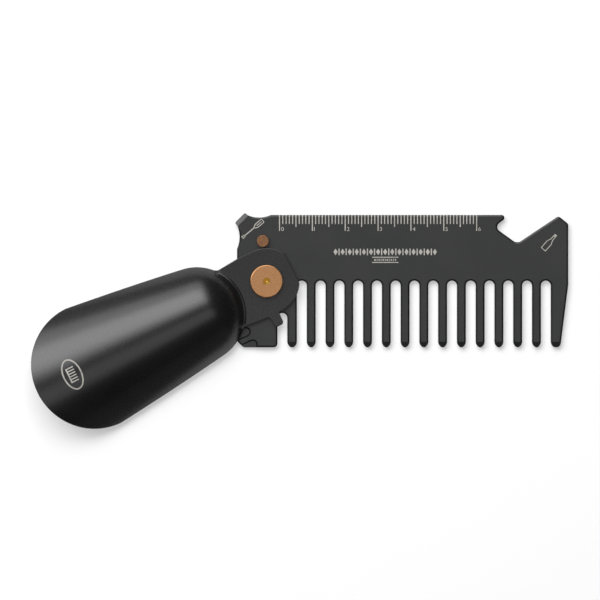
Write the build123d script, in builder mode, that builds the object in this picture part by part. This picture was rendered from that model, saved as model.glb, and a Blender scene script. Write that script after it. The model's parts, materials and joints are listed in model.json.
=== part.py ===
from build123d import *
import os
from math import cos, radians, sin, sqrt, tan

# Folding shoehorn on a steel comb, in millimetres.
# The origin is on the pivot axis, on the comb's back face. X runs along the comb,
# Y towards its ruled edge and Z out of its front face.

# Comb plate
comb_length = 100.8
comb_width = 40.3
plate_thickness = 2.0
pivot_from_left = 9.0
pivot_from_top = 20.2
edge_break_width = 0.5
edge_break_depth = 0.28

# Comb teeth
slot_width = 3.0
slot_length = 20.3
slot_pitch = 5.72
first_slot_from_pivot = 10.73
end_tooth_width = 5.3
end_tooth_taper = 7.2
end_tooth_round = 1.4
end_taper_from_bottom = 19.0
tooth_tip_length = 1.8
tooth_tip_flat = 0.5
tip_bevel_length = 1.7
tip_bevel_depth = 0.45

# Block left of the teeth, with its two cutting scallops
block_width = 12.3
block_slot_length = 10.45
block_corner = 1.9
block_round = 1.2
scallop_radius = 1.5
scallop_depth = 0.7
scallop_angle = 24.0
scallop_pitch = 4.3
scallop_from_left = 2.7
scallop_from_bottom = 4.7
scallop_step = 0.4
scallop_wall_angle = 30.0

# Flat screwdriver tip across the upper left corner
driver_width = 4.25
driver_base_width = 4.67
driver_inset = 1.2
driver_bevel_length = 1.35
driver_tip_thickness = 0.8
driver_reach = 10.3
driver_hollow = 0.7
driver_round = 0.45

# Bottle opener notch in the upper right corner
opener_lip_from_right = 17.8
opener_lip_angle = 38.0
opener_lip_length = 6.0
opener_hook_angle = 36.0
opener_floor_drop = 8.25
opener_floor_width = 1.4
opener_ramp_angle = 33.6
opener_ramp_drop = 0.35
opener_corner_angle = 38.0
opener_nose_round = 0.85
opener_hook_round = 1.43
opener_floor_round = 1.4

# Pivot rivet
head_diameter = 10.0
head_thickness = 1.1
head_round = 0.3
shank_diameter = 5.0
dimple_diameter = 2.3
dimple_depth = 1.15
tail_diameter = 6.6
tail_recess = 0.05
running_clearance = 0.05

# Washer and spring on the rivet
washer_diameter = 12.0
washer_thickness = 0.3
spring_diameter = 9.2
spring_thickness = 0.25
spring_height = 0.4
spring_land = 0.4
face_clearance = 0.02

# Stop pin
pin_diameter = 3.7
pin_shank_diameter = 2.5
pin_tail_diameter = 3.5
pin_angle = 95.2
pin_proud = 0.25
pin_round = 0.15
pin_gap = 0.35

# Shoehorn
horn_angle = 26.0
sheet_thickness = 1.2
tang_half_width = 10.05
tang_end = 8.7
tang_straight = 5.0
tang_root_half_width = 9.4
tang_length = 12.6
tang_round = 1.0
neck_from_pivot = 23.6
neck_round_radius = 17.1
bowl_height = 8.5
bowl_flare = 14.5
tip_from_pivot = 58.7
tip_length = 18.7
crease_round = 0.7
web_round = 1.5

# Stop tab on the shoehorn's tang
tab_reach = 13.9
tab_width = 3.0
tab_round = 1.0
tab_front_root_round = 0.5
tab_back_root_round = 1.1
stop_gap = 0.05

# Comb edges and heights
left = -pivot_from_left
right = left + comb_length
top = pivot_from_top
bottom = top - comb_width
tang_bottom = plate_thickness + washer_thickness + face_clearance
tang_top = tang_bottom + sheet_thickness
head_bottom = tang_top + face_clearance + spring_height
head_top = head_bottom + head_thickness
clear_of_plate = 5.0

# Pin place, just outside the round end of the tang
pin_radius = pin_diameter / 2
pin_from_pivot = tang_half_width + pin_gap + pin_radius
pin_x = pin_from_pivot * cos(radians(pin_angle))
pin_y = pin_from_pivot * sin(radians(pin_angle))

# Planes of the shoehorn: one flat, with x along the horn, and one upright along it
along = (-cos(radians(horn_angle)), -sin(radians(horn_angle)), 0)
across = (-sin(radians(horn_angle)), cos(radians(horn_angle)), 0)
horn_flat = Plane(origin=(0, 0, tang_bottom), x_dir=along, z_dir=(0, 0, 1))
horn_upright = Plane(origin=(0, 0, tang_bottom), x_dir=along, z_dir=across)

os.makedirs("parts", exist_ok=True)


# Corners of the opener notch and of the end tooth
floor_y = top - opener_floor_drop
hook_y = top - opener_lip_length * sin(radians(opener_lip_angle))
lip_x = right - opener_lip_from_right
hook_x = lip_x - opener_lip_length * cos(radians(opener_lip_angle))
floor_x = hook_x + (hook_y - floor_y) / tan(radians(opener_hook_angle))
ramp_x = floor_x + opener_floor_width
peak_y = top - opener_ramp_drop
peak_x = ramp_x + (peak_y - floor_y) / tan(radians(opener_ramp_angle))
shoulder_y = peak_y - (right - peak_x) * tan(radians(opener_corner_angle))
taper_y = bottom + end_taper_from_bottom
taper_x = right - end_taper_from_bottom * tan(radians(end_tooth_taper))

# Screwdriver tip: the blade's end and base lie across the corner's diagonal
diagonal = sqrt(0.5)
inwards = Vector(diagonal, -diagonal)
blade_end = Vector(left, top) + inwards * driver_inset
blade_base = blade_end + inwards * driver_bevel_length
half_end = Vector(diagonal, diagonal) * driver_width / 2
half_base = Vector(diagonal, diagonal) * driver_base_width / 2
driver_grind = (plate_thickness - driver_tip_thickness) / 2
blade_plane = Plane(
    origin=(blade_base.X, blade_base.Y, plate_thickness / 2),
    x_dir=(-1, 1, 0),
    z_dir=(1, 1, 0),
)

# Scallops: the first one's inner end, with x running inwards along it
scallop_plane = Plane(
    origin=(left + scallop_from_left, bottom + scallop_from_bottom, plate_thickness),
    x_dir=(cos(radians(scallop_angle)), sin(radians(scallop_angle)), 0),
)

# Slots between the teeth, evenly spaced from the first one to the end tooth
block_right = left + block_width
last_slot = right - end_tooth_width - slot_width / 2
slot_steps = round((last_slot - first_slot_from_pivot) / slot_pitch)
slot_spacing = (last_slot - first_slot_from_pivot) / slot_steps
slot_middle = (first_slot_from_pivot + last_slot) / 2
half_slot = slot_width / 2
half_plate = plate_thickness / 2
half_mouth = (slot_spacing - tooth_tip_flat) / 2
tip_y = bottom + tooth_tip_length
past_bottom = bottom - clear_of_plate
slot_round_y = bottom + slot_length - half_slot
block_slot_x = block_right + half_slot
block_slot_round_y = bottom + block_slot_length - half_slot

with BuildSketch() as tooth_slot:
    with BuildLine():
        Line((-half_slot, slot_round_y), (-half_slot, tip_y))
        TangentArc((-half_slot, tip_y), (-half_mouth, bottom), tangent=(0, -1))
        Polyline(
            (-half_mouth, bottom),
            (-half_mouth, past_bottom),
            (half_mouth, past_bottom),
            (half_mouth, bottom),
        )
        TangentArc((half_slot, tip_y), (half_mouth, bottom), tangent=(0, -1))
        Line((half_slot, tip_y), (half_slot, slot_round_y))
        RadiusArc((half_slot, slot_round_y), (-half_slot, slot_round_y), -half_slot)
    make_face()

with BuildSketch() as block_slot:
    with BuildLine():
        Line((-half_slot, block_slot_round_y), (-half_slot, past_bottom))
        Polyline((-half_slot, past_bottom), (half_mouth, past_bottom), (half_mouth, bottom))
        TangentArc((half_slot, tip_y), (half_mouth, bottom), tangent=(0, -1))
        Line((half_slot, tip_y), (half_slot, block_slot_round_y))
        RadiusArc((half_slot, block_slot_round_y), (-half_slot, block_slot_round_y), -half_slot)
    make_face()

with BuildPart() as comb_plate:
    with BuildSketch() as outline:
        with BuildLine():
            Line(blade_base - half_base, blade_end - half_end)
            Line(blade_end - half_end, blade_end + half_end)
            Line(blade_end + half_end, blade_base + half_base)
            SagittaArc(blade_base + half_base, (left + driver_reach, top), -driver_hollow)
            Polyline(
                (left + driver_reach, top),
                (lip_x, top),
                (hook_x, hook_y),
                (floor_x, floor_y),
                (ramp_x, floor_y),
                (peak_x, peak_y),
                (right, shoulder_y),
                (right, taper_y),
                (taper_x, bottom),
                (left + block_corner, bottom),
                (left, bottom + block_corner),
                (left, top - driver_reach),
            )
            SagittaArc((left, top - driver_reach), blade_base - half_base, -driver_hollow)
        make_face()
        with Locations((slot_middle, 0)):
            with GridLocations(slot_spacing, 0, slot_steps + 1, 1):
                add(tooth_slot.sketch, mode=Mode.SUBTRACT)
        with Locations((block_slot_x, 0)):
            add(block_slot.sketch, mode=Mode.SUBTRACT)
        rounds = (
            (lip_x, top, opener_nose_round),
            (hook_x, hook_y, opener_hook_round),
            (floor_x, floor_y, opener_floor_round),
            (ramp_x, floor_y, opener_floor_round),
            (peak_x, peak_y, opener_nose_round),
            (right, shoulder_y, opener_nose_round),
            (taper_x, bottom, end_tooth_round),
            (left + block_corner, bottom, block_round),
            (left, bottom + block_corner, block_round),
            (block_right, bottom, block_round),
            (blade_end.X - half_end.X, blade_end.Y - half_end.Y, driver_round),
            (blade_end.X + half_end.X, blade_end.Y + half_end.Y, driver_round),
        )
        for x, y, radius in rounds:
            fillet(outline.vertices().sort_by_distance((x, y))[0], radius=radius)
    extrude(amount=plate_thickness)

    # Broad, shallow edge break round both faces, all except the screwdriver blade's edges
    for side in (0, -1):
        flat = comb_plate.faces().sort_by(Axis.Z)[side]
        body_edges = flat.edges().filter_by(lambda edge: (edge.center() - blade_base).dot(inwards) > 0)
        chamfer(body_edges, length=edge_break_width, length2=edge_break_depth, reference=flat)

    # Tooth tips thinned on both faces
    bevel_y = bottom + tip_bevel_length
    bevel_drop = tip_bevel_depth * (bevel_y - past_bottom) / tip_bevel_length
    with BuildSketch(Plane.YZ.offset(block_slot_x)):
        for face_z, drop in ((plate_thickness, -bevel_drop), (0, bevel_drop)):
            with BuildLine():
                Polyline((bevel_y, face_z), (past_bottom, face_z), (past_bottom, face_z + drop), close=True)
            make_face()
    extrude(amount=comb_length, mode=Mode.SUBTRACT)

    # Screwdriver blade ground on both faces
    grind_reach = driver_bevel_length + driver_inset
    grind_drop = driver_grind * grind_reach / driver_bevel_length
    with BuildSketch(blade_plane):
        for face_z, drop in ((half_plate, -grind_drop), (-half_plate, grind_drop)):
            with BuildLine():
                Polyline((0, face_z), (grind_reach, face_z), (grind_reach, face_z + drop), close=True)
            make_face()
    extrude(amount=driver_base_width, both=True, mode=Mode.SUBTRACT)

    # Two scallops, open at the block's left and lower edges
    with BuildSketch(scallop_plane):
        with Locations((0, 0), (scallop_step, -scallop_pitch)):
            Circle(scallop_radius)
            Rectangle(comb_width, 2 * scallop_radius, align=(Align.MAX, Align.CENTER))
    extrude(amount=-scallop_depth, taper=scallop_wall_angle, mode=Mode.SUBTRACT)

    # Holes for the rivet and the stop pin, countersunk from the back
    with BuildSketch():
        Circle(shank_diameter / 2)
        with Locations((pin_x, pin_y)):
            Circle(pin_shank_diameter / 2)
    extrude(amount=plate_thickness, mode=Mode.SUBTRACT)
    Cone(
        bottom_radius=tail_diameter / 2,
        top_radius=shank_diameter / 2,
        height=(tail_diameter - shank_diameter) / 2,
        align=(Align.CENTER, Align.CENTER, Align.MIN),
        mode=Mode.SUBTRACT,
    )
    with Locations((pin_x, pin_y)):
        Cone(
            bottom_radius=pin_tail_diameter / 2,
            top_radius=pin_shank_diameter / 2,
            height=(pin_tail_diameter - pin_shank_diameter) / 2,
            align=(Align.CENTER, Align.CENTER, Align.MIN),
            mode=Mode.SUBTRACT,
        )
comb_plate.part.label = "comb_plate"
export_step(comb_plate.part, "parts/comb_plate.step")


# Pivot rivet: wide head in front, shank through the tang and the plate, flush tail at the back
with BuildPart() as pivot_rivet:
    with BuildSketch(Plane.XZ) as rivet_profile:
        with BuildLine():
            Polyline(
                (0, tail_recess),
                (tail_diameter / 2 - tail_recess, tail_recess),
                (shank_diameter / 2, (tail_diameter - shank_diameter) / 2),
                (shank_diameter / 2, head_bottom),
                (head_diameter / 2, head_bottom),
                (head_diameter / 2, head_top),
                (dimple_diameter / 2, head_top),
                (0, head_top - dimple_depth),
                close=True,
            )
        make_face()
        head_corner = rivet_profile.vertices().sort_by_distance((head_diameter / 2, head_top))[0]
        fillet(head_corner, radius=head_round)
    revolve(axis=Axis.Z)
pivot_rivet.part.label = "pivot_rivet"
export_step(pivot_rivet.part, "parts/pivot_rivet.step")


# Thrust washer, which keeps the shoehorn clear of the plate
with BuildPart() as thrust_washer:
    with BuildSketch(Plane.XY.offset(plate_thickness)):
        Circle(washer_diameter / 2)
        Circle(shank_diameter / 2 + running_clearance, mode=Mode.SUBTRACT)
    extrude(amount=washer_thickness)
thrust_washer.part.label = "thrust_washer"
export_step(thrust_washer.part, "parts/thrust_washer.step")


# Disc spring under the rivet head, pressed on the tang to make the pivot stiff
spring_bore = shank_diameter / 2 + running_clearance
spring_edge = spring_diameter / 2
spring_bottom = head_bottom - spring_height
with BuildPart() as disc_spring:
    with BuildSketch(Plane.XZ):
        with BuildLine():
            Polyline(
                (spring_bore, head_bottom),
                (spring_bore + spring_land, head_bottom),
                (spring_edge, spring_bottom + spring_thickness),
                (spring_edge, spring_bottom),
                (spring_edge - spring_land, spring_bottom),
                (spring_bore, head_bottom - spring_thickness),
                close=True,
            )
        make_face()
    revolve(axis=Axis.Z)
disc_spring.part.label = "disc_spring"
export_step(disc_spring.part, "parts/disc_spring.step")


# Stop pin: stands in the way of the tang's tab, with a flush tail at the back
pin_top = tang_top + pin_proud
pin_plane = Plane(origin=(pin_x, pin_y, 0), x_dir=(1, 0, 0), z_dir=(0, -1, 0))
with BuildPart() as stop_pin:
    with BuildSketch(pin_plane) as pin_profile:
        with BuildLine():
            Polyline(
                (0, tail_recess),
                (pin_tail_diameter / 2 - tail_recess, tail_recess),
                (pin_shank_diameter / 2, (pin_tail_diameter - pin_shank_diameter) / 2),
                (pin_shank_diameter / 2, plate_thickness),
                (pin_radius, plate_thickness),
                (pin_radius, pin_top),
                (0, pin_top),
                close=True,
            )
        make_face()
        fillet(pin_profile.vertices().sort_by_distance((pin_radius, pin_top))[0], radius=pin_round)
    revolve(axis=Axis((pin_x, pin_y, 0), (0, 0, 1)))
stop_pin.part.label = "stop_pin"
export_step(stop_pin.part, "parts/stop_pin.step")


# Shoehorn bowl: a ball at the neck flares into a cone whose top line is level.
# In the upright plane, x runs along the horn and y is the height above the tang's underside.
ball_y = bowl_height - neck_round_radius
flare = radians(bowl_flare)
bowl_axis_point = horn_upright.from_local_coords((neck_from_pivot, ball_y))
bowl_axis_end = horn_upright.from_local_coords((neck_from_pivot + cos(flare), ball_y - sin(flare)))
bowl_axis = Axis(bowl_axis_point, bowl_axis_end - bowl_axis_point)

# The bowl's tip is cut to half an ellipse, as wide as its rim is at that place
cone_length = tip_from_pivot - neck_from_pivot + neck_round_radius / tan(flare)
rim_spread = bowl_height * (cone_length * sin(2 * flare) - bowl_height * cos(2 * flare))
tip_half_width = sqrt(rim_spread) / cos(flare)
past_horn = tip_from_pivot + tip_length + clear_of_plate

# Round foot of the bowl's neck on the tang's underside
neck_plan_radius = sqrt(neck_round_radius**2 - ball_y**2)

# Side of the stop tab: it meets the pin when the shoehorn lies straight along the comb
tab_side = pin_x + pin_radius + stop_gap


# Half section of the bowl's solid at one radius, from its axis to its level top line
def bowl_profile(radius):
    back = (neck_from_pivot - radius * cos(flare), ball_y + radius * sin(flare))
    crown = (neck_from_pivot, ball_y + radius)
    axis_end_y = ball_y - (past_horn - neck_from_pivot) * tan(flare)
    with BuildSketch(horn_upright) as profile:
        with BuildLine():
            RadiusArc(back, crown, radius)
            Polyline(crown, (past_horn, ball_y + radius), (past_horn, axis_end_y), back)
        make_face()
    return profile.sketch


with BuildPart() as shoehorn:
    revolve(bowl_profile(neck_round_radius), axis=bowl_axis)
    with BuildSketch(horn_flat):
        Rectangle(tip_from_pivot, 2 * comb_length, align=(Align.MIN, Align.CENTER))
        with Locations((tip_from_pivot, 0)):
            Ellipse(tip_length, tip_half_width)
    extrude(amount=bowl_height + clear_of_plate, mode=Mode.INTERSECT)

    # Flat tang with its stop tab, running under the bowl's neck
    with BuildSketch(horn_flat) as tang:
        with BuildLine():
            Polyline(
                (0, -tang_half_width),
                (tang_straight, -tang_half_width),
                (tang_length, -tang_root_half_width),
                (tang_length, tang_root_half_width),
                (tang_straight, tang_half_width),
                (0, tang_half_width),
                close=True,
            )
        make_face()
        Circle(tang_half_width)
        with Locations((-tang_end, 0)):
            Rectangle(
                tang_half_width,
                2 * tang_half_width,
                align=(Align.MAX, Align.CENTER),
                mode=Mode.SUBTRACT,
            )
        with Locations((tab_side, tang_half_width - tab_width)):
            Rectangle(tab_width, tab_reach - tang_half_width + tab_width, align=(Align.MIN, Align.MIN))
        with Locations((neck_from_pivot, 0)):
            Circle(neck_plan_radius)
        fillet(tang.vertices().group_by(Axis.X)[0], radius=tang_round)
        tang_rounds = (
            (tab_side, tab_reach, tab_round),
            (tab_side + tab_width, tab_reach, tab_round),
            (tab_side, tang_half_width, tab_front_root_round),
            (tab_side + tab_width, tang_half_width, tab_back_root_round),
            (tang_length, -tang_root_half_width, web_round),
            (tang_length, tang_root_half_width, web_round),
        )
        for x, y, radius in tang_rounds:
            fillet(tang.vertices().sort_by_distance((x, y))[0], radius=radius)
        with Locations((tang_length, 0)):
            Rectangle(
                past_horn,
                2 * comb_length,
                align=(Align.MIN, Align.CENTER),
                mode=Mode.SUBTRACT,
            )
    extrude(amount=sheet_thickness)

    # Soft crease where the bowl rises out of the tang
    crease = shoehorn.edges().filter_by(lambda edge: abs(edge.center().Z - tang_top) < crease_round / 2)
    crease = crease.filter_by(GeomType.CIRCLE).sort_by(SortBy.LENGTH)[-1]
    fillet(crease, radius=crease_round)

    # Hollow of the bowl, one sheet inside it, and the rivet hole
    revolve(bowl_profile(neck_round_radius - sheet_thickness), axis=bowl_axis, mode=Mode.SUBTRACT)
    with BuildSketch(horn_flat):
        Circle(shank_diameter / 2 + running_clearance)
    extrude(amount=sheet_thickness, mode=Mode.SUBTRACT)
shoehorn.part.label = "shoehorn"
export_step(shoehorn.part, "parts/shoehorn.step")
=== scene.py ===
import bpy
import bmesh
import json
from math import atan2, cos, degrees, pi, radians, sin, sqrt, tan
from mathutils import Matrix, Vector

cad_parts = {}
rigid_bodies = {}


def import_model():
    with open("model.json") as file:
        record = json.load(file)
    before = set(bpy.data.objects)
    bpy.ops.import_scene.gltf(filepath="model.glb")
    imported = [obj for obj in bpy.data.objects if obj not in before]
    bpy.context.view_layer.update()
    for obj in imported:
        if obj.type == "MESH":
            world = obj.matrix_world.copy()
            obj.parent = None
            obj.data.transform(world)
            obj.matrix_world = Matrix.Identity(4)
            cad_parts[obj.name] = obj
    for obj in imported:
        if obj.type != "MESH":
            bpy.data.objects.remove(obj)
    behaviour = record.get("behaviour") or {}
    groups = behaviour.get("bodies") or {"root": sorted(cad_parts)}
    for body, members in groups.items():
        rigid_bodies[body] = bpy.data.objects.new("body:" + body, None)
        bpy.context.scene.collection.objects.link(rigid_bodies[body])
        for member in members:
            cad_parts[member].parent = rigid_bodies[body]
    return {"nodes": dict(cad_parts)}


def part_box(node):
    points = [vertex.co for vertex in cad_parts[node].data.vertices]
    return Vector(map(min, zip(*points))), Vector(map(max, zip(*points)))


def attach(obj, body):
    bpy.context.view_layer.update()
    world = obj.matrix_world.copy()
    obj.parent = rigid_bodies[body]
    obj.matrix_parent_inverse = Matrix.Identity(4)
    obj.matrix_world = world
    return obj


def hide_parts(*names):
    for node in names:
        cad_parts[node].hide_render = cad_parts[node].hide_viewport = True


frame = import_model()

for starter in [o for o in bpy.data.objects if o.name in ("Cube", "Light", "Camera")]:
    bpy.data.objects.remove(starter)  # the startup file's own objects
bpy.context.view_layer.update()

mm = 0.001
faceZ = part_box("comb_plate")[1].z     # front face of the comb
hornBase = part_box("shoehorn")[0].z    # underside of the shoehorn's tang
weldGap = 0.00001 * mm                # points closer than this are one point
print("frame loaded")


def newObject(name, data):
    made = bpy.data.objects.new(name, data)
    bpy.context.scene.collection.objects.link(made)
    return made


def bakeMesh(source, name):
    # the evaluated shape becomes a plain mesh, with no modifier left on it
    depsgraph = bpy.context.evaluated_depsgraph_get()
    mesh = bpy.data.meshes.new_from_object(source.evaluated_get(depsgraph))
    mesh.name = name
    bpy.data.objects.remove(source)
    return newObject(name, mesh)


def faceOutward(mesh):
    work = bmesh.new()
    work.from_mesh(mesh)
    bmesh.ops.remove_doubles(work, verts=work.verts, dist=weldGap)
    bmesh.ops.recalc_face_normals(work, faces=work.faces)
    work.to_mesh(mesh)
    work.free()


class NodeDesk:
    # a node tree with short ways to add and join nodes
    def __init__(self, tree):
        self.tree = tree

    def add(self, kind, **settings):
        node = self.tree.nodes.new(kind)
        for key, value in settings.items():
            setattr(node, key, value)
        return node

    def join(self, source, target):
        self.tree.links.new(source, target)

    def feed(self, value, target):
        if isinstance(value, bpy.types.NodeSocket):
            self.join(value, target)
        else:
            target.default_value = value

    def maths(self, operation, *values):
        node = self.add("ShaderNodeMath", operation=operation)
        for value, socket in zip(values, node.inputs):
            self.feed(value, socket)
        return node.outputs[0]

    def vector(self, *parts):
        node = self.add("ShaderNodeCombineXYZ")
        for value, socket in zip(parts, node.inputs):
            self.feed(value, socket)
        return node.outputs[0]


# Camera straight above the comb, a pale floor and softboxes set across the shoehorn

cameraSetup = {
    "centreX": 10.17,      # middle of the view along the comb, from the pivot
    "centreY": -5.69,
    "viewWidth": 182.6,    # what the view takes in, at the comb's face
    "distance": 2600.0,
    "sensorWidth": 36.0,
    "clipStart": 0.1,      # metres
    "clipEnd": 20.0,
}


def makeCamera():
    data = bpy.data.cameras.new("Camera")
    camera = newObject("Camera", data)
    camera.location = (
        cameraSetup["centreX"] * mm,
        cameraSetup["centreY"] * mm,
        faceZ + cameraSetup["distance"] * mm,
    )
    data.sensor_width = cameraSetup["sensorWidth"]
    data.lens = data.sensor_width * cameraSetup["distance"] / cameraSetup["viewWidth"]
    data.clip_start = cameraSetup["clipStart"]
    data.clip_end = cameraSetup["clipEnd"]
    bpy.context.scene.camera = camera


floorSetup = {
    "size": 6.0,                       # metres
    "gap": 0.02,                       # below the comb's back face
    "colour": (0.53, 0.53, 0.53, 1.0),
    "roughness": 0.9,
    "specular": 0.1,
    "glow": 0.41,                      # a light table: the floor shines a little by itself
}


def makeFloor():
    half = floorSetup["size"] / 2
    level = -floorSetup["gap"] * mm
    corners = [(-half, -half, level), (half, -half, level), (half, half, level), (-half, half, level)]
    mesh = bpy.data.meshes.new("floor")
    mesh.from_pydata(corners, [], [(0, 1, 2, 3)])
    floor = newObject("floor", mesh)
    material = bpy.data.materials.new("paleFloor")
    material.use_nodes = True
    shader = material.node_tree.nodes["Principled BSDF"]
    shader.inputs["Base Color"].default_value = floorSetup["colour"]
    shader.inputs["Roughness"].default_value = floorSetup["roughness"]
    shader.inputs["Specular IOR Level"].default_value = floorSetup["specular"]
    shader.inputs["Emission Color"].default_value = (1, 1, 1, 1)
    shader.inputs["Emission Strength"].default_value = floorSetup["glow"]
    mesh.materials.append(material)


# azimuth, tilt from overhead of its near and far edge, length along the shoehorn, brightness
lightSetup = {
    "keySoftbox": (116.0, 14.0, 68.0, 1.5, 2.9),
    "keyCore": (116.0, 22.0, 50.0, 1.2, 3.35),
    "rearCard": (116.0, 66.0, 84.0, 1.6, 0.45),
    "topStrip": (116.0, -19.0, 1.0, 1.5, 1.25),
    "frontCard": (296.0, 55.0, 85.0, 1.6, 0.12),
}
lightDistance = 1.1
roomGlow = 0.02


def makeLights():
    # each softbox fills a stretch of sky between two tilts, across the shoehorn's length
    target = Vector((0, 0, faceZ))
    for name, (azimuth, near, far, length, radiance) in lightSetup.items():
        turn, tilt = radians(azimuth), radians((near + far) / 2)
        direction = Vector((cos(turn) * sin(tilt), sin(turn) * sin(tilt), cos(tilt)))
        data = bpy.data.lights.new(name, "AREA")
        data.shape = "RECTANGLE"
        data.size = length
        data.size_y = 2 * lightDistance * tan(radians((far - near) / 2))
        data.energy = radiance * pi * data.size * data.size_y
        lamp = newObject(name, data)
        side = Vector((-sin(turn), cos(turn), 0))
        upward = direction.cross(side)
        lamp.matrix_world = Matrix((side, upward, direction)).transposed().to_4x4()
        lamp.location = target + direction * lightDistance
        lamp.visible_camera = False
    world = bpy.data.worlds.new("studio")
    world.use_nodes = True
    sky = world.node_tree.nodes["Background"]
    sky.inputs["Color"].default_value = (1, 1, 1, 1)
    sky.inputs["Strength"].default_value = roomGlow
    bpy.context.scene.world = world
    bpy.context.scene.view_settings.view_transform = "Standard"


makeCamera()
makeFloor()
makeLights()
print("camera, floor and lights made")


# Finishes: one grain group gives every surface its speckle and its slow mottle

plainLook = {"grain": 900.0, "stretch": 1.0, "mottle": 60.0, "metallic": 0.0}
noiseSpan = (0.3, 0.7)      # nearly all values of a noise texture lie between these
bumpDepth = 0.01 * mm


def grainGroup():
    tree = bpy.data.node_groups.new("fineGrain", "ShaderNodeTree")
    for name, key in (("Scale", "grain"), ("Stretch", "stretch"), ("Mottle Scale", "mottle")):
        socket = tree.interface.new_socket(name=name, in_out="INPUT", socket_type="NodeSocketFloat")
        socket.default_value = plainLook[key]
    for name in ("Speckle", "Mottle"):
        tree.interface.new_socket(name=name, in_out="OUTPUT", socket_type="NodeSocketFloat")
    desk = NodeDesk(tree)
    given = desk.add("NodeGroupInput").outputs
    result = desk.add("NodeGroupOutput").inputs
    place = desk.add("ShaderNodeTexCoord").outputs["Object"]
    drawn = desk.add("ShaderNodeVectorMath", operation="MULTIPLY")
    desk.join(place, drawn.inputs[0])
    desk.join(desk.vector(given["Stretch"], 1.0, 1.0), drawn.inputs[1])
    speckle = desk.add("ShaderNodeTexNoise")
    desk.join(drawn.outputs[0], speckle.inputs["Vector"])
    desk.join(given["Scale"], speckle.inputs["Scale"])
    speckle.inputs["Detail"].default_value = 3.0
    mottle = desk.add("ShaderNodeTexNoise")
    desk.join(place, mottle.inputs["Vector"])
    desk.join(given["Mottle Scale"], mottle.inputs["Scale"])
    mottle.inputs["Detail"].default_value = 2.0
    desk.join(speckle.outputs["Fac"], result["Speckle"])
    desk.join(mottle.outputs["Fac"], result["Mottle"])
    return tree


fineGrain = grainGroup()


def between(desk, factor, low, high):
    node = desk.add("ShaderNodeMapRange")
    desk.feed(factor, node.inputs["Value"])
    node.inputs["From Min"].default_value, node.inputs["From Max"].default_value = noiseSpan
    node.inputs["To Min"].default_value = low
    node.inputs["To Max"].default_value = high
    return node.outputs[0]


def mixColour(desk, factor, first, second):
    node = desk.add("ShaderNodeMix", data_type="RGBA")
    desk.feed(factor, node.inputs["Factor"])
    for value, socket in zip((first, second), (s for s in node.inputs if s.type == "RGBA")):
        desk.feed(value, socket)
    return next(s for s in node.outputs if s.type == "RGBA")


def grainedFinish(name, look):
    # colour drifts with the mottle, gloss and height follow the speckle
    look = {**plainLook, **look}
    material = bpy.data.materials.new(name)
    material.use_nodes = True
    desk = NodeDesk(material.node_tree)
    shader = material.node_tree.nodes["Principled BSDF"]
    grain = desk.add("ShaderNodeGroup")
    grain.node_tree = fineGrain
    grain.inputs["Scale"].default_value = look["grain"]
    grain.inputs["Stretch"].default_value = look["stretch"]
    grain.inputs["Mottle Scale"].default_value = look["mottle"]
    drift = between(desk, grain.outputs["Mottle"], 0.0, 1.0)
    colour = mixColour(desk, drift, (*look["dark"], 1.0), (*look["light"], 1.0))
    roughness = between(desk, grain.outputs["Speckle"], *look["roughness"])
    shader.inputs["Metallic"].default_value = look["metallic"]
    bump = desk.add("ShaderNodeBump")
    bump.inputs["Strength"].default_value = look["bump"]
    bump.inputs["Distance"].default_value = bumpDepth
    desk.join(grain.outputs["Speckle"], bump.inputs["Height"])
    desk.join(bump.outputs[0], shader.inputs["Normal"])
    desk.join(colour, shader.inputs["Base Color"])
    desk.join(roughness, shader.inputs["Roughness"])
    return material, desk, shader, bump, grain


def finish(name, look):
    return grainedFinish(name, look)[0]


hornBlack = {   # smooth satin coating on the pressed sheet
    "dark": (0.0045, 0.0045, 0.005), "light": (0.0075, 0.0075, 0.008),
    "roughness": (0.22, 0.30), "grain": 5200.0, "bump": 0.10,
}
combBlack = {   # flatter coating on the ground plate
    "dark": (0.0036, 0.0040, 0.0050), "light": (0.0086, 0.0088, 0.0084),
    "roughness": (0.30, 0.40), "grain": 5200.0, "bump": 0.16,
}
etchedGrey = {  # laser-etched marks, frosted and dry
    "dark": (0.30, 0.285, 0.26), "light": (0.40, 0.385, 0.35),
    "roughness": (0.5, 0.7), "grain": 9000.0, "bump": 0.3, "mottle": 400.0,
}
nylonBlack = {
    "dark": (0.02, 0.02, 0.02), "light": (0.035, 0.035, 0.034),
    "roughness": (0.4, 0.55), "grain": 3000.0, "bump": 0.2,
}
springSteel = {
    "dark": (0.30, 0.29, 0.28), "light": (0.42, 0.41, 0.39), "metallic": 1.0,
    "roughness": (0.28, 0.40), "grain": 2500.0, "stretch": 0.15, "bump": 0.15,
}
copperLook = {  # satin copper, lathe-turned, with a lighter golden colour painted inside the dimple as painted reflection
    "dark": (0.32, 0.157, 0.070), "light": (0.415, 0.22, 0.105), "metallic": 1.0,
    "roughness": (0.30, 0.44), "grain": 6500.0, "bump": 0.25, "mottle": 2600.0,
    "paintedDimpleReflection": (0.62, 0.43, 0.15), "dimpleGloss": 0.30, "dimpleRadius": 1.17,
    "turningLines": 4200.0, "turningHeight": 0.12,
}
pinCopper = {
    "dark": (0.14, 0.070, 0.038), "light": (0.225, 0.117, 0.062), "metallic": 1.0,
    "roughness": (0.34, 0.48), "grain": 6500.0, "bump": 0.3, "mottle": 2600.0,
}


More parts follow.
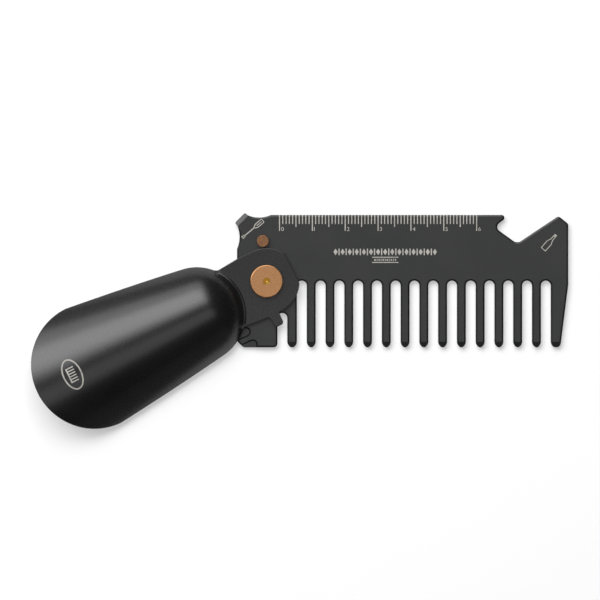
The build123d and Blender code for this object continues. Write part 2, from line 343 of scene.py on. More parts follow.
def rivetFinish():
    # turned rings about the pivot axis, and inside the dimple a lighter golden colour that is a painted
    # reflection
    material, desk, shader, bump, grain = grainedFinish("rivetCopper", copperLook)
    place = desk.add("ShaderNodeTexCoord").outputs["Object"]
    flat = desk.add("ShaderNodeVectorMath", operation="MULTIPLY")
    desk.join(place, flat.inputs[0])
    flat.inputs[1].default_value = (1.0, 1.0, 0.0)
    radius = desk.add("ShaderNodeVectorMath", operation="LENGTH")
    desk.join(flat.outputs[0], radius.inputs[0])
    inDimple = desk.maths("LESS_THAN", radius.outputs["Value"], copperLook["dimpleRadius"] * mm)
    plain = shader.inputs["Base Color"].links[0].from_socket
    # painted reflection: the copper inside the dimple's radius is painted lighter gold, standing in for
    # light bouncing round the hollow cone
    desk.join(mixColour(desk, inDimple, plain, (*copperLook["paintedDimpleReflection"], 1.0)), shader.inputs["Base Color"])
    rough = shader.inputs["Roughness"].links[0].from_socket
    outside = desk.maths("SUBTRACT", 1.0, inDimple)
    matt = desk.maths("MULTIPLY", rough, outside)
    glossy = desk.maths("MULTIPLY", inDimple, copperLook["dimpleGloss"])
    desk.join(desk.maths("ADD", matt, glossy), shader.inputs["Roughness"])
    ringTurn = desk.maths("MULTIPLY", radius.outputs["Value"], copperLook["turningLines"] * 2 * pi)
    ringHeight = desk.maths("MULTIPLY", desk.maths("SINE", ringTurn), copperLook["turningHeight"])
    desk.join(desk.maths("ADD", grain.outputs["Speckle"], ringHeight), bump.inputs["Height"])
    return material


combCoat = finish("combCoat", combBlack)
hornCoat = finish("hornCoat", hornBlack)
etchedMark = finish("etchedMark", etchedGrey)
cadFinish = {
    "comb_plate": combCoat,
    "shoehorn": hornCoat,
    "pivot_rivet": rivetFinish(),
    "stop_pin": finish("pinCopper", pinCopper),
    "thrust_washer": finish("nylonBlack", nylonBlack),
    "disc_spring": finish("springSteel", springSteel),
}
for node, material in cadFinish.items():
    cad = frame["nodes"][node]
    cad.data.materials.clear()
    cad.data.materials.append(material)
print("finishes made")


# Geometry Nodes trees: named inputs in front, Realize Instances and Set Material at the end

def startTree(name, lengths, counts=()):
    tree = bpy.data.node_groups.new(name, "GeometryNodeTree")
    face = tree.interface
    face.new_socket(name="Geometry", in_out="OUTPUT", socket_type="NodeSocketGeometry")
    face.new_socket(name="Geometry", in_out="INPUT", socket_type="NodeSocketGeometry")
    for count in counts:
        face.new_socket(name=count, in_out="INPUT", socket_type="NodeSocketInt")
    for length in lengths:
        face.new_socket(name=length, in_out="INPUT", socket_type="NodeSocketFloat")
    face.new_socket(name="Finish", in_out="INPUT", socket_type="NodeSocketMaterial")
    desk = NodeDesk(tree)
    return tree, desk, desk.add("NodeGroupInput").outputs


def endTree(desk, geometry, given):
    realize = desk.add("GeometryNodeRealizeInstances")
    desk.join(geometry, realize.inputs["Geometry"])
    paint = desk.add("GeometryNodeSetMaterial")
    desk.join(realize.outputs["Geometry"], paint.inputs["Geometry"])
    desk.join(given["Finish"], paint.inputs["Material"])
    desk.join(paint.outputs["Geometry"], desk.add("NodeGroupOutput").inputs["Geometry"])


def growPiece(name, tree, values, start=None):
    # runs a tree on a start mesh and keeps the plain mesh that it gives
    source = newObject(name + "Source", start or bpy.data.meshes.new(name + "Source"))
    modifier = source.modifiers.new("grow", "NODES")
    modifier.node_group = tree
    for item in tree.interface.items_tree:
        if item.in_out == "INPUT" and item.name in values:
            modifier[item.identifier] = values[item.name]
    return bakeMesh(source, name)


def pointRow(desk, given):
    line = desk.add("GeometryNodeMeshLine", mode="OFFSET", count_mode="TOTAL")
    desk.join(given["Count"], line.inputs["Count"])
    desk.join(desk.vector(given["Start X"], given["Row Y"], given["Level"]), line.inputs["Start Location"])
    desk.join(desk.vector(given["Pitch"], 0.0, 0.0), line.inputs["Offset"])
    return line.outputs["Mesh"]


def everyNth(desk, number):
    index = desk.add("GeometryNodeInputIndex").outputs[0]
    return desk.maths("LESS_THAN", desk.maths("MODULO", index, number), 0.5)


def placeOnPoints(desk, points, shape, scale, selection=None):
    node = desk.add("GeometryNodeInstanceOnPoints")
    desk.join(points, node.inputs["Points"])
    desk.join(shape, node.inputs["Instance"])
    desk.join(scale, node.inputs["Scale"])
    if selection:
        desk.join(selection, node.inputs["Selection"])
    return node.outputs["Instances"]


def tickTree():
    # a row of ticks down from an edge, some of them longer at a regular step
    lengths = (
        "Start X", "Row Y", "Level", "Pitch", "Line Width", "Thickness",
        "Short", "Middle", "Long", "Slope Width", "Slope Drop",
    )
    counts = ("Count", "Middle Every", "Long Every")
    tree, desk, given = startTree("rulerTicks", lengths, counts)
    length = given["Short"]
    for every, longer, shorter in (("Middle Every", "Middle", "Short"), ("Long Every", "Long", "Middle")):
        extra = desk.maths("SUBTRACT", given[longer], given[shorter])
        length = desk.maths("ADD", length, desk.maths("MULTIPLY", everyNth(desk, given[every]), extra))
    row = pointRow(desk, given)
    hang = desk.add("GeometryNodeSetPosition")
    desk.join(row, hang.inputs["Geometry"])
    desk.join(desk.vector(0.0, desk.maths("MULTIPLY", length, -0.5), 0.0), hang.inputs["Offset"])
    bar = desk.add("GeometryNodeMeshCube")
    size = desk.vector(given["Line Width"], length, given["Thickness"])
    both = desk.add("GeometryNodeJoinGeometry")
    ticks = placeOnPoints(desk, hang.outputs["Geometry"], bar.outputs["Mesh"], size)
    desk.join(ticks, both.inputs["Geometry"])
    # the end of each tick lies on the edge's slope
    halfWidth = desk.maths("MULTIPLY", given["Slope Width"], 0.5)
    halfDrop = desk.maths("MULTIPLY", given["Slope Drop"], -0.5)
    lower = desk.add("GeometryNodeSetPosition")
    desk.join(row, lower.inputs["Geometry"])
    desk.join(desk.vector(0.0, halfWidth, halfDrop), lower.inputs["Offset"])
    squares = [desk.maths("MULTIPLY", given[side], given[side]) for side in ("Slope Width", "Slope Drop")]
    slopeLength = desk.maths("SQRT", desk.maths("ADD", *squares))
    tilt = desk.add("FunctionNodeEulerToRotation")
    desk.join(desk.vector(desk.maths("ARCTAN2", halfDrop, halfWidth), 0.0, 0.0), tilt.inputs[0])
    onSlope = desk.vector(given["Line Width"], slopeLength, given["Thickness"])
    ends = placeOnPoints(desk, lower.outputs["Geometry"], bar.outputs["Mesh"], onSlope)
    desk.join(tilt.outputs[0], ends.node.inputs["Rotation"])
    desk.join(ends, both.inputs["Geometry"])
    endTree(desk, both.outputs["Geometry"], given)
    return tree


def borderTree():
    # lozenges with an upright bar after each
    lengths = (
        "Start X", "Row Y", "Level", "Pitch", "Line Width", "Thickness",
        "Lozenge Width", "Height",
    )
    tree, desk, given = startTree("lozengeBorder", lengths, counts=("Count",))
    points = pointRow(desk, given)
    even = everyNth(desk, 2.0)
    odd = desk.maths("SUBTRACT", 1.0, even)
    lozenge = desk.add("GeometryNodeMeshCylinder")
    lozenge.inputs["Vertices"].default_value = 4
    lozenge.inputs["Radius"].default_value = 0.5
    lozenge.inputs["Depth"].default_value = 1.0
    wide = desk.vector(given["Lozenge Width"], given["Height"], given["Thickness"])
    bar = desk.add("GeometryNodeMeshCube")
    thin = desk.vector(given["Line Width"], given["Height"], given["Thickness"])
    both = desk.add("GeometryNodeJoinGeometry")
    desk.join(placeOnPoints(desk, points, lozenge.outputs["Mesh"], wide, even), both.inputs["Geometry"])
    desk.join(placeOnPoints(desk, points, bar.outputs["Mesh"], thin, odd), both.inputs["Geometry"])
    endTree(desk, both.outputs["Geometry"], given)
    return tree


# Etched marks on the comb's face

markProud = 0.012   # how far a mark stands out of the face
markSunk = 0.03     # and how far it reaches into it

rulerSetup = {
    "firstTick": 3.93,
    "edgeY": 19.7,       # inner line of the ruled edge's slope
    "slopeWidth": 0.48,  # the ticks run on down the slope
    "slopeDrop": 0.27,
    "ticks": 61,
    "middleEvery": 5,
    "longEvery": 10,     # a digit stands at each of these
    "pitch": 1.0,
    "lineWidth": 0.31,
    "short": 2.25, "middle": 3.15, "long": 4.35,
    "digitHeight": 1.17,
    "digitWidth": 0.82,
    "digitGap": 0.5,
}


def inMetres(values):
    return {name: value * mm if isinstance(value, float) else value for name, value in values.items()}


def etchLevel():
    return faceZ / mm + (markProud - markSunk) / 2


def keepOnComb(piece):
    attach(piece, "comb")


def makeRulerTicks():
    marks = growPiece("ruler_marks", tickTree(), inMetres({
        "Count": rulerSetup["ticks"],
        "Middle Every": rulerSetup["middleEvery"],
        "Long Every": rulerSetup["longEvery"],
        "Start X": rulerSetup["firstTick"],
        "Row Y": rulerSetup["edgeY"],
        "Level": etchLevel(),
        "Pitch": rulerSetup["pitch"],
        "Line Width": rulerSetup["lineWidth"],
        "Short": rulerSetup["short"],
        "Middle": rulerSetup["middle"],
        "Long": rulerSetup["long"],
        "Slope Width": rulerSetup["slopeWidth"],
        "Slope Drop": rulerSetup["slopeDrop"],
        "Thickness": markProud + markSunk,
        "Finish": etchedMark,
    }))
    keepOnComb(marks)


def meshBox(mesh):
    return [Vector([pick(v.co[k] for v in mesh.vertices) for k in range(3)]) for pick in (min, max)]


def flatDigit(number):
    curve = bpy.data.curves.new("digit", "FONT")
    curve.body = str(number)
    curve.extrude = (markProud + markSunk) * mm / 2
    digit = bakeMesh(newObject("digitSource", curve), "digit")
    mesh = digit.data
    bpy.data.objects.remove(digit)
    return mesh


def makeRulerDigits():
    # each digit stands to the right of its tick, and all are stretched as much as the first one
    ruler = rulerSetup
    digits = [flatDigit(number) for number in range(ruler["ticks"] // ruler["longEvery"] + 1)]
    low, high = meshBox(digits[0])
    stretchX = ruler["digitWidth"] * mm / (high.x - low.x)
    stretchY = ruler["digitHeight"] * mm / (high.y - low.y)
    base = (ruler["edgeY"] - ruler["long"]) * mm
    work = bmesh.new()
    for number, digit in enumerate(digits):
        low = meshBox(digit)[0]
        tick = ruler["firstTick"] + number * ruler["longEvery"] * ruler["pitch"]
        left = (tick + ruler["digitGap"]) * mm
        for vertex in digit.vertices:
            x, y, z = vertex.co
            vertex.co = (left + (x - low.x) * stretchX, base + y * stretchY, etchLevel() * mm + z)
        work.from_mesh(digit)
    mesh = bpy.data.meshes.new("ruler_digits")
    work.to_mesh(mesh)
    work.free()
    faceOutward(mesh)
    mesh.materials.append(etchedMark)
    keepOnComb(newObject("ruler_digits", mesh))


borderSetup = {
    "centreX": 36.1,
    "rowY": 8.95,
    "count": 29,
    "pitch": 1.08,
    "lozengeWidth": 1.25,
    "height": 2.0,
    "lineWidth": 0.36,
}
smallRowSetup = {
    "centreX": 36.1,
    "rowY": 6.52,
    "count": 11,
    "pitch": 0.62,
    "lozengeWidth": 0.6,
    "height": 0.75,
    "lineWidth": 0.2,
}
ruleSetup = {"halfLength": 4.0, "upperY": 7.32, "lowerY": 5.75, "width": 0.28}


def makeBorder(name, setup):
    border = growPiece(name, borderTree(), inMetres({
        "Count": setup["count"],
        "Start X": setup["centreX"] - setup["pitch"] * (setup["count"] - 1) / 2,
        "Row Y": setup["rowY"],
        "Level": etchLevel(),
        "Pitch": setup["pitch"],
        "Line Width": setup["lineWidth"],
        "Lozenge Width": setup["lozengeWidth"],
        "Height": setup["height"],
        "Thickness": markProud + markSunk,
        "Finish": etchedMark,
    }))
    keepOnComb(border)


def onPlate(centre, turn):
    # turns a drawing's own flat place and its height into a place on the comb's face
    cosine, sine = cos(radians(turn)), sin(radians(turn))

    def place(x, y, height):
        placeX = centre[0] + x * cosine - y * sine
        placeY = centre[1] + x * sine + y * cosine
        return Vector((placeX * mm, placeY * mm, faceZ + height * mm))

    return place


mitreLimit = 0.4    # keeps the corner of a sharp turn from running far out


def drawLine(work, points, width, place, closed=False):
    # a mitred line of even width, as a thin closed solid
    flat = [Vector(point) for point in points]
    count = len(flat)
    sections = []
    for k, point in enumerate(flat):
        before = point - flat[k - 1] if closed or k else flat[1] - point
        after = flat[(k + 1) % count] - point if closed or k < count - 1 else before
        normal = before.normalized() + after.normalized()
        normal = Vector((-normal.y, normal.x)).normalized()
        reach = width / 2 / max(normal.dot(Vector((-before.y, before.x)).normalized()), mitreLimit)
        left, right = point + normal * reach, point - normal * reach
        corners = ((left, -markSunk), (right, -markSunk), (right, markProud), (left, markProud))
        sections.append([work.verts.new(place(c.x, c.y, h)) for c, h in corners])
    for k in range(count if closed else count - 1):
        one, two = sections[k], sections[(k + 1) % count]
        for a in range(4):
            b = (a + 1) % 4
            work.faces.new((one[a], one[b], two[b], two[a]))
    if not closed:
        work.faces.new(list(reversed(sections[0])))
        work.faces.new(sections[-1])


def mirrored(side):
    # an outline from its left side, which runs from the start to the end
    return side + [(x, -y) for x, y in reversed(side)]


def closeDrawing(work, name, material):
    mesh = bpy.data.meshes.new(name)
    bmesh.ops.recalc_face_normals(work, faces=work.faces)
    work.to_mesh(mesh)
    work.free()
    mesh.materials.append(material)
    return newObject(name, mesh)


def makeRules():
    work = bmesh.new()
    place = onPlate((borderSetup["centreX"], 0.0), 0.0)
    for height in (ruleSetup["upperY"], ruleSetup["lowerY"]):
        ends = [(-ruleSetup["halfLength"], height), (ruleSetup["halfLength"], height)]
        drawLine(work, ends, ruleSetup["width"], place)
    keepOnComb(closeDrawing(work, "border_rules", etchedMark))


bottleSetup = {
    "base": (84.25, 9.75), "turn": 49.0, "lineWidth": 0.24,
    "bodyLength": 2.7, "bodyHalf": 0.82, "neckStart": 3.9, "neckHalf": 0.34, "neckEnd": 5.1,
    "lipLength": 0.5, "lipHalf": 0.42,
}


def makeBottleMark():
    # a plain bottle beside the opener, drawn base first
    b = bottleSetup
    side = [
        (0, b["bodyHalf"]),
        (b["bodyLength"], b["bodyHalf"]),
        (b["neckStart"], b["neckHalf"]),
        (b["neckEnd"], b["neckHalf"]),
    ]
    work = bmesh.new()
    place = onPlate(b["base"], b["turn"])
    drawLine(work, mirrored(side), b["lineWidth"], place, closed=True)
    lipMiddle = b["neckEnd"] + b["lineWidth"] + b["lipLength"] / 2
    drawLine(work, [(lipMiddle, -b["lipHalf"]), (lipMiddle, b["lipHalf"])], b["lipLength"], place)
    keepOnComb(closeDrawing(work, "bottle_mark", etchedMark))


driverSetup = {
    "centre": (-4.3, 15.85), "turn": 220.0, "lineWidth": 0.26,
    "length": 8.2, "handleLength": 3.3, "handleHalf": 0.62, "handleTaper": 0.16,
    "shaftLength": 3.6, "shaftWidth": 0.338, "tipLength": 1.1, "tipHalf": 0.36,
}


def makeDriverMark():
    # a plain screwdriver beside the blade, with its tip at the lower end
    d = driverSetup
    start = -d["length"] / 2
    handleEnd = start + d["handleLength"]
    shaftEnd = handleEnd + d["shaftLength"]
    narrow = d["handleHalf"] - d["handleTaper"]
    work = bmesh.new()
    place = onPlate(d["centre"], d["turn"])
    side = [
        (start, narrow),
        (start + d["handleTaper"], d["handleHalf"]),
        (handleEnd - 2 * narrow, d["handleHalf"]),
        (handleEnd, narrow / 2),
    ]
    drawLine(work, mirrored(side), d["lineWidth"], place, closed=True)
    drawLine(work, [(start + narrow, 0), (handleEnd - 2 * narrow, 0)], d["lineWidth"], place)
    drawLine(work, [(handleEnd, 0), (shaftEnd, 0)], d["shaftWidth"], place)
    tip = [(shaftEnd, d["lineWidth"] / 2), (shaftEnd + d["tipLength"], d["tipHalf"])]
    drawLine(work, mirrored(tip), d["lineWidth"], place, closed=True)
    keepOnComb(closeDrawing(work, "driver_mark", etchedMark))


makeRulerTicks()
makeRulerDigits()
makeBorder("border_row", borderSetup)
makeBorder("small_row", smallRowSetup)
makeRules()
makeBottleMark()
makeDriverMark()
print("etched marks made")


# The shoehorn: s runs along it from the pivot, t across it, and z up from the tang's underside

hornSetup = {
    "angle": 26.0,          # below the comb's left end
    "sheet": 1.2,
    "crest": 8.5,
    "neck": 23.6,           # the ball's centre along the horn
    "neckRound": 17.1,
    "flare": 14.5,
    "tipStart": 58.7,       # where the rounded tip begins
    "tipLength": 18.7,
    "sharpAngle": 24.0,     # steeper turns between faces are drawn as sharp edges
}


def hornPlace(s, t, z):
    turn = radians(hornSetup["angle"])
    x = -cos(turn) * s - sin(turn) * t
    y = -sin(turn) * s + cos(turn) * t
    return Vector((x * mm, y * mm, hornBase + z * mm))


def coneHeight(s, t, radius):
    # height of the flared cone whose top line is level
    flare = radians(hornSetup["flare"])
    run = s - hornSetup["neck"] + radius / tan(flare)
    spread = (run * sin(2 * flare)) ** 2 - 4 * cos(2 * flare) * (cos(flare) * t) ** 2
    drop = (-run * sin(2 * flare) + sqrt(max(spread, 0.0))) / (2 * cos(2 * flare))
    return hornSetup["crest"] - hornSetup["neckRound"] + radius + drop


def rimHalfWidth(s):
    # half the bowl's width where its cone meets the level of the tang's underside
    flare = radians(hornSetup["flare"])
    run = s - hornSetup["neck"] + hornSetup["neckRound"] / tan(flare)
    spread = run * sin(2 * flare) - hornSetup["crest"] * cos(2 * flare)
    return sqrt(hornSetup["crest"] * spread) / cos(flare)


def wallRadius(z):
    # the ball's own radius, seen from above, at one height
    return sqrt(hornSetup["neckRound"] ** 2 - (z - hornSetup["crest"] + hornSetup["neckRound"]) ** 2)


blankSetup = {
    "neckSteps": 44, "sideSteps": 36, "tipSteps": 48, "weld": 0.0001,
    # shares of the way from the middle line to the rim
    "rings": (0.0, 0.12, 0.24, 0.36, 0.47, 0.57, 0.66, 0.74, 0.81, 0.87),
    # distance in from the rim, and depth into the sheet, round the blank's edge
    "edge": (
        (1.4, 0.0), (0.9, 0.0), (0.6, 0.0), (0.4, 0.0), (0.28, 0.0),
        (0.18, 0.05), (0.14, 0.2), (0.12, 0.5), (0.14, 0.8), (0.18, 0.95),
        (0.28, 1.0), (0.4, 1.0), (0.8, 1.0), (1.2, 1.0), (1.41, 1.0), (1.8, 1.0),
    ),
}


def blankSpokes():
    # start, direction and length of each line from the blank's middle line to its rim
    first = hornSetup["neck"] - hornSetup["crest"] * tan(radians(hornSetup["flare"]))
    last = hornSetup["tipStart"]
    offset = hornSetup["neck"] - first
    spokes = []
    for side in (1, -1):
        steps = blankSetup["sideSteps"]
        places = [last + (first - last) * k / steps for k in range(steps)]
        if side < 0:
            places = [first + (last - first) * k / steps for k in range(steps)]
        spokes += [(s, 0.0, side, rimHalfWidth(s)) for s in places]
        fan, centre = (blankSetup["neckSteps"], first) if side > 0 else (blankSetup["tipSteps"], last)
        for k in range(fan):
            turn = pi * (k / fan + side / 2)
            if side > 0:
                reach = offset * cos(turn) + sqrt(wallRadius(0.0) ** 2 - (offset * sin(turn)) ** 2)
            else:
                lengthPart, widthPart = cos(turn) / hornSetup["tipLength"], sin(turn) / rimHalfWidth(last)
                reach = 1 / sqrt(lengthPart ** 2 + widthPart ** 2)
            spokes.append((centre, cos(turn), sin(turn), reach))
    return spokes


def flatBlank():
    # the sheet before pressing: flat, with a rounded edge, its top face at height 0
    work = bmesh.new()
    spokes = blankSpokes()
    inner = [(share, None, 0.0) for share in blankSetup["rings"]]
    edge = [(None, inset, depth) for inset, depth in blankSetup["edge"]]
    under = [(share, None, 1.0) for share in reversed(blankSetup["rings"])]
    rings = []
    for share, inset, depth in inner + edge + under:
        ring = []
        for s, alongPart, acrossPart, reach in spokes:
            out = reach - inset if share is None else reach * share
            place = (s + out * alongPart, out * acrossPart, -depth * hornSetup["sheet"])
            ring.append(work.verts.new(Vector(place) * mm))
        rings.append(ring)
    for one, two in zip(rings, rings[1:]):
        for k in range(len(one)):
            after = (k + 1) % len(one)
            work.faces.new((one[k], one[after], two[after], two[k]))
    bmesh.ops.remove_doubles(work, verts=work.verts, dist=blankSetup["weld"] * mm)
    mesh = bpy.data.meshes.new("flatBlank")
    work.to_mesh(mesh)
    work.free()
    return mesh


def pressTree():
    # presses a flat sheet onto a ball that flares into a cone with a level top line
    tree, desk, given = startTree("pressBowl", ("Neck", "Neck Round", "Crest", "Flare", "Sheet"))
    maths = desk.maths
    place = desk.add("ShaderNodeSeparateXYZ")
    desk.join(desk.add("GeometryNodeInputPosition").outputs[0], place.inputs[0])
    s, t, sunk = place.outputs
    along = maths("SUBTRACT", s, given["Neck"])
    sine, cosine, slope = (maths(kind, given["Flare"]) for kind in ("SINE", "COSINE", "TANGENT"))
    twice = maths("MULTIPLY", given["Flare"], 2.0)
    sine2, cosine2 = maths("SINE", twice), maths("COSINE", twice)
    ball = maths("SUBTRACT", given["Crest"], given["Neck Round"])

    def square(value):
        return maths("MULTIPLY", value, value)

    def bowl(radius):
        under = maths("SUBTRACT", maths("SUBTRACT", square(radius), square(along)), square(t))
        rise = maths("SQRT", maths("MAXIMUM", under, 0.0))
        run = maths("MULTIPLY", maths("ADD", along, maths("DIVIDE", radius, slope)), sine2)
        spread = maths("MULTIPLY", maths("MULTIPLY", square(maths("MULTIPLY", cosine, t)), cosine2), 4.0)
        root = maths("SQRT", maths("MAXIMUM", maths("SUBTRACT", square(run), spread), 0.0))
        drop = maths("DIVIDE", maths("SUBTRACT", root, run), maths("MULTIPLY", cosine2, 2.0))
        cone = maths("ADD", radius, drop)
        reach = maths("SUBTRACT", maths("MULTIPLY", along, cosine), maths("MULTIPLY", rise, sine))
        onBall = maths("LESS_THAN", reach, maths("MULTIPLY", maths("MULTIPLY", radius, sine), -1.0))
        height = maths("ADD", cone, maths("MULTIPLY", onBall, maths("SUBTRACT", rise, cone)))
        return maths("MAXIMUM", maths("ADD", ball, height), 0.0)

    outer = bowl(given["Neck Round"])
    inner = bowl(maths("SUBTRACT", given["Neck Round"], given["Sheet"]))
    depth = maths("MULTIPLY", maths("DIVIDE", sunk, given["Sheet"]), -1.0)
    height = maths("ADD", outer, maths("MULTIPLY", depth, maths("SUBTRACT", inner, outer)))
    press = desk.add("GeometryNodeSetPosition")
    desk.join(given["Geometry"], press.inputs["Geometry"])
    desk.join(desk.vector(s, t, height), press.inputs["Position"])
    endTree(desk, press.outputs["Geometry"], given)
    return tree


tangSetup = {
    "halfWidth": 10.05, "straightTo": 5.0, "rootS": 11.6, "rootT": 9.5, "webRound": 1.5,
    "endS": -8.7, "endRound": 1.0,
    "tabFrom": 0.785, "tabTo": 3.785, "tabReach": 13.9, "tabRound": 1.0,
    "tabFrontRound": 0.5, "tabBackRound": 1.1,
    "hole": 2.55, "edgeRound": 0.13, "edgeSteps": 2, "hiddenRadius": 13.6,
    "roundSteps": 10, "endSteps": 20, "hiddenSteps": 30, "holeSteps": 64,
    "shortest": 0.001,      # closer points of the outline count as one
}


def arcPoints(centre, radius, start, end, steps=tangSetup["roundSteps"]):
    turns = [radians(start + (end - start) * k / steps) for k in range(steps + 1)]
    return [(centre[0] + radius * cos(a), centre[1] + radius * sin(a)) for a in turns]


def tangOutline():
    # round the tang from the neck's left web, over its end, down the stop tab, to the right web
    g = tangSetup
    wide, tabEnd = g["halfWidth"], -(g["tabReach"] - g["tabRound"])
    webT = g["rootT"] + g["webRound"]
    web = degrees(atan2(-webT, hornSetup["neck"] - g["rootS"]))
    cornerS = g["endS"] + g["endRound"]
    cornerT = sqrt((wide - g["endRound"]) ** 2 - cornerS ** 2)
    corner = degrees(atan2(cornerT, cornerS))
    frontS = g["tabFrom"] - g["tabFrontRound"]
    frontT = -sqrt((wide + g["tabFrontRound"]) ** 2 - frontS ** 2)
    front = degrees(atan2(frontT, frontS))
    points = arcPoints((g["rootS"], webT), g["webRound"], web, -90)
    points += [(g["straightTo"], wide)]
    points += arcPoints((0, 0), wide, 90, corner, g["endSteps"])
    points += arcPoints((cornerS, cornerT), g["endRound"], corner, 180)
    points += arcPoints((cornerS, -cornerT), g["endRound"], 180, 360 - corner)
    points += arcPoints((0, 0), wide, 360 - corner, 360 + front, g["endSteps"])
    points += arcPoints((frontS, frontT), g["tabFrontRound"], 180 + front, 0)
    points += arcPoints((g["tabFrom"] + g["tabRound"], tabEnd), g["tabRound"], 180, 270)
    points += arcPoints((g["tabTo"] - g["tabRound"], tabEnd), g["tabRound"], 270, 360)
    backRound = g["tabBackRound"]
    points += arcPoints((g["tabTo"] + backRound, -wide - backRound), backRound, 180, 90)
    points += arcPoints((g["rootS"], -webT), g["webRound"], 90, -web)
    neck = (hornSetup["neck"], 0.0)
    points += arcPoints(neck, g["hiddenRadius"], 180 - web, 180 + web, g["hiddenSteps"])
    return points


def tangSlab():
    # a flat curve with the rivet's hole, given its thickness and soft edges
    curve = bpy.data.curves.new("tangSlab", "CURVE")
    curve.dimensions = "2D"
    curve.fill_mode = "BOTH"
    hole = arcPoints((0, 0), tangSetup["hole"], 0, 360, tangSetup["holeSteps"])[:-1]
    for points in (tangOutline(), hole):
        pairs = zip(points, points[1:] + points[:1])
        kept = [p for p, q in pairs if (Vector(p) - Vector(q)).length > tangSetup["shortest"]]
        spline = curve.splines.new("POLY")
        spline.points.add(len(kept) - 1)
        for point, (s, t) in zip(spline.points, kept):
            point.co = (s * mm, t * mm, 0.0, 1.0)
        spline.use_cyclic_u = True
    curve.bevel_depth = tangSetup["edgeRound"] * mm
    curve.bevel_resolution = tangSetup["edgeSteps"]
    curve.offset = -curve.bevel_depth
    curve.extrude = hornSetup["sheet"] * mm / 2 - curve.bevel_depth
    slab = bakeMesh(newObject("tangSource", curve), "tangSlab")
    for vertex in slab.data.vertices:
        vertex.co.z += hornSetup["sheet"] * mm / 2
    mesh = slab.data
    bpy.data.objects.remove(slab)
    return mesh


foldSetup = {
    # radius about the neck's centre and height of the stepped fold, from the tang up to the bowl
    "profile": (
        (15.12, 1.12), (15.08, 1.2), (14.97, 1.24), (14.87, 1.37), (14.78, 1.46), (14.70, 1.50),
        (14.44, 1.52), (14.32, 1.58), (13.15, 2.32), (13.3, 1.3),
    ),
    "halfTurn": 42.0, "fade": 6.0, "steps": 84,
}


def neckFold():
    # the stepped fold round the neck, fading into the wall at both ends
    work = bmesh.new()
    sections = []
    for k in range(foldSetup["steps"] + 1):
        turn = foldSetup["halfTurn"] * (2 * k / foldSetup["steps"] - 1)
        share = min(1.0, (foldSetup["halfTurn"] - abs(turn)) / foldSetup["fade"])
        section = []
        for radius, z in foldSetup["profile"]:
            kept = min(radius, wallRadius(z) + max(radius - wallRadius(z), 0.0) * share)
            s = hornSetup["neck"] - kept * cos(radians(turn))
            section.append(work.verts.new(Vector((s, kept * sin(radians(turn)), z)) * mm))
        sections.append(section)
    for one, two in zip(sections, sections[1:]):
        for a in range(len(one)):
            b = (a + 1) % len(one)
            work.faces.new((one[a], one[b], two[b], two[a]))
    work.faces.new(sections[0])
    work.faces.new(sections[-1])
    mesh = bpy.data.meshes.new("neckFold")
    work.to_mesh(mesh)
    work.free()
    return mesh


levelNormal = 0.9999    # a face whose normal is this upright counts as level
levelGap = 0.001 * mm


def sharpenFlats(mesh):
    # the tang's level faces end crisply at their rounded edges
    levels = (hornBase, hornBase + hornSetup["sheet"] * mm)
    work = bmesh.new()
    work.from_mesh(mesh)
    for edge in work.edges:
        flat = [face for face in edge.link_faces if abs(face.normal.z) > levelNormal]
        level = min(abs(vertex.co.z - z) for vertex in edge.verts for z in levels)
        if len(flat) == 1 and level < levelGap:
            edge.smooth = False
    work.to_mesh(mesh)
    work.free()


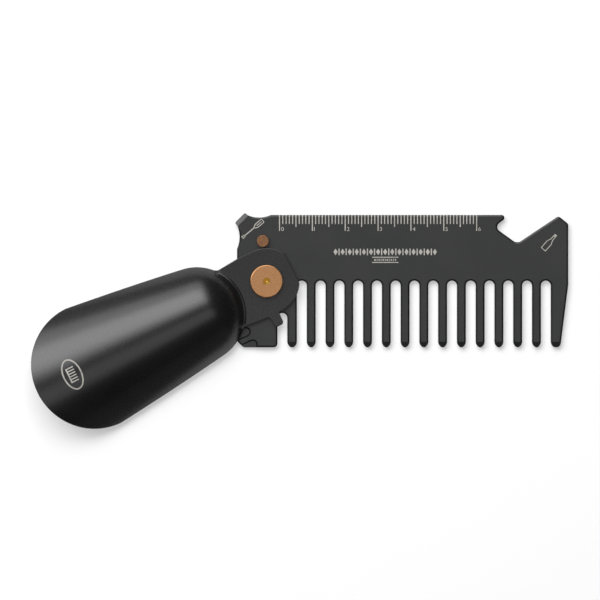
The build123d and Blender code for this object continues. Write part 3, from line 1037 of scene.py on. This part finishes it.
def makeShoehorn():
    bowl = growPiece("pressedBowl", pressTree(), {
        "Neck": hornSetup["neck"] * mm,
        "Neck Round": hornSetup["neckRound"] * mm,
        "Crest": hornSetup["crest"] * mm,
        "Flare": radians(hornSetup["flare"]),
        "Sheet": hornSetup["sheet"] * mm,
        "Finish": hornCoat,
    }, flatBlank())
    work = bmesh.new()
    for mesh in (bowl.data, tangSlab(), neckFold()):
        work.from_mesh(mesh)
    bpy.data.objects.remove(bowl)
    for vertex in work.verts:
        vertex.co = hornPlace(*(vertex.co / mm))
    for face in work.faces:
        face.material_index = 0     # one finish for the bowl, the tang and the fold
    horn = bpy.data.meshes.new("shoehorn_sheet")
    work.to_mesh(horn)
    work.free()
    faceOutward(horn)
    horn.materials.clear()
    horn.materials.append(hornCoat)
    horn.shade_smooth()
    horn.set_sharp_from_angle(angle=radians(hornSetup["sharpAngle"]))
    sharpenFlats(horn)
    piece = newObject("shoehorn_sheet", horn)
    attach(piece, "horn")
    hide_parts("shoehorn")


makeShoehorn()
print("shoehorn made")


# Etched oval near the bowl's tip

emblemSetup = {
    "s": 65.3, "t": 0.4,
    "halfLength": 2.75, "halfWidth": 4.7,   # along and across the horn
    "lineWidth": 0.42,
    "ringSteps": 72,
    "teeth": 6, "toothPitch": 0.85, "toothLength": 2.1, "toothWidth": 0.336, "spineOffset": 1.15,
    "stepLength": 0.3,
}


def onBowl(x, y, height):
    s, t = emblemSetup["s"] + x, emblemSetup["t"] + y
    surface = coneHeight(s, t, hornSetup["neckRound"]) + height
    return hornPlace(s, t, min(surface, hornSetup["crest"]))  # never above the crest itself


def shortSteps(start, end, step):
    # points along a straight line, close enough to follow the bowl
    pieces = max(1, round((Vector(end) - Vector(start)).length / step))
    return [tuple(Vector(start).lerp(Vector(end), k / pieces)) for k in range(pieces + 1)]


def makeEmblem():
    # a plain oval with a little comb in it
    e = emblemSetup
    work = bmesh.new()
    turns = [2 * pi * k / e["ringSteps"] for k in range(e["ringSteps"])]
    oval = [(e["halfLength"] * cos(a), e["halfWidth"] * sin(a)) for a in turns]
    drawLine(work, oval, e["lineWidth"], onBowl, closed=True)
    halfSpine = (e["teeth"] - 1) * e["toothPitch"] / 2 + e["lineWidth"] / 2
    spine = shortSteps((e["spineOffset"], -halfSpine), (e["spineOffset"], halfSpine), e["stepLength"])
    drawLine(work, spine, e["lineWidth"], onBowl)
    start = e["spineOffset"] - e["lineWidth"] / 2
    for k in range(e["teeth"]):
        t = (k - (e["teeth"] - 1) / 2) * e["toothPitch"]
        tooth = shortSteps((start, t), (start - e["toothLength"], t), e["stepLength"])
        drawLine(work, tooth, e["toothWidth"], onBowl)
    emblem = closeDrawing(work, "horn_emblem", etchedMark)
    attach(emblem, "horn")


makeEmblem()
print("emblem made")
